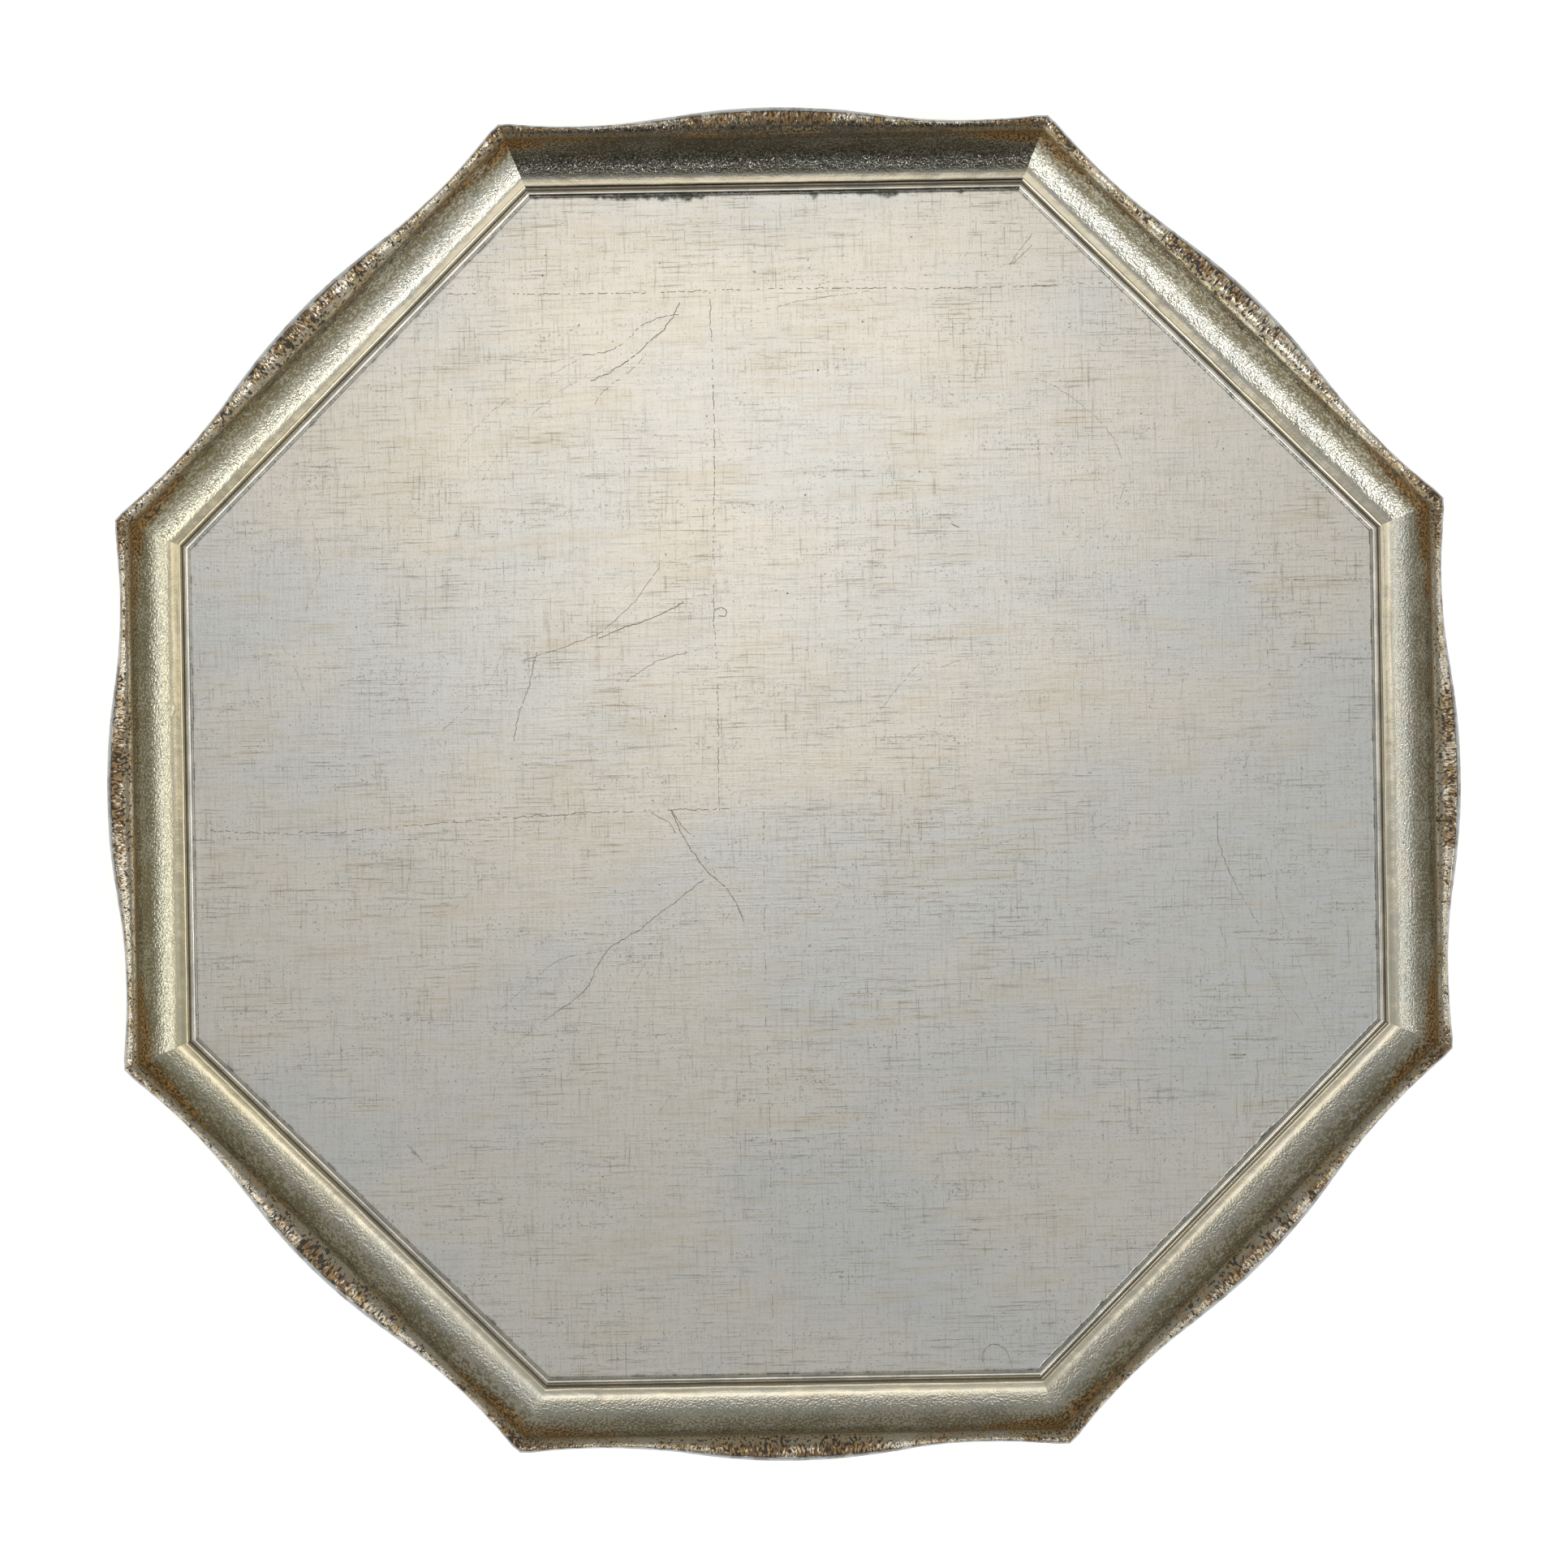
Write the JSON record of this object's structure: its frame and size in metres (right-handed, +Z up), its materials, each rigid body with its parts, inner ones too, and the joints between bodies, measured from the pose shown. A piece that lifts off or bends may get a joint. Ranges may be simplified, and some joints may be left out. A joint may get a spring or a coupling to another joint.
{
  "type": "octagonal serving tray",
  "caption": "Octagonal silver-leafed wooden tray: a flat leafed panel inside mitred coved mouldings with a scalloped lip.",
  "frame": {"origin": "centre of the underside, on the surface the tray rests on", "axes": "+Z up out of the well; +X and +Y through the middles of two flat sides"},
  "size_m": [0.3448, 0.3448, 0.0248],
  "materials": {
    "panel_board": "matte, thin brown paint on plywood",
    "leafed_ground": "satin, toned silver leaf on a chalk ground",
    "leafed_moulding": "satin, silver leaf rubbed through to brown bole at the lip",
    "key_wood": "matte, bare hardwood",
    "brad_steel": "matte, bright drawn wire"
  },
  "bodies": {
    "root": {"tray_panel": "panel_board", "panel_ground": "leafed_ground", "panel_brads": "brad_steel", "rim_east": "leafed_moulding", "rim_north_east": "leafed_moulding", "rim_north": "leafed_moulding", "rim_north_west": "leafed_moulding", "rim_west": "leafed_moulding", "rim_south_west": "leafed_moulding", "rim_south": "leafed_moulding", "rim_south_east": "leafed_moulding", "mitre_key_ene": "key_wood", "mitre_key_nne": "key_wood", "mitre_key_nnw": "key_wood", "mitre_key_wnw": "key_wood", "mitre_key_wsw": "key_wood", "mitre_key_ssw": "key_wood", "mitre_key_sse": "key_wood", "mitre_key_ese": "key_wood"}
  },
  "joints": []
}
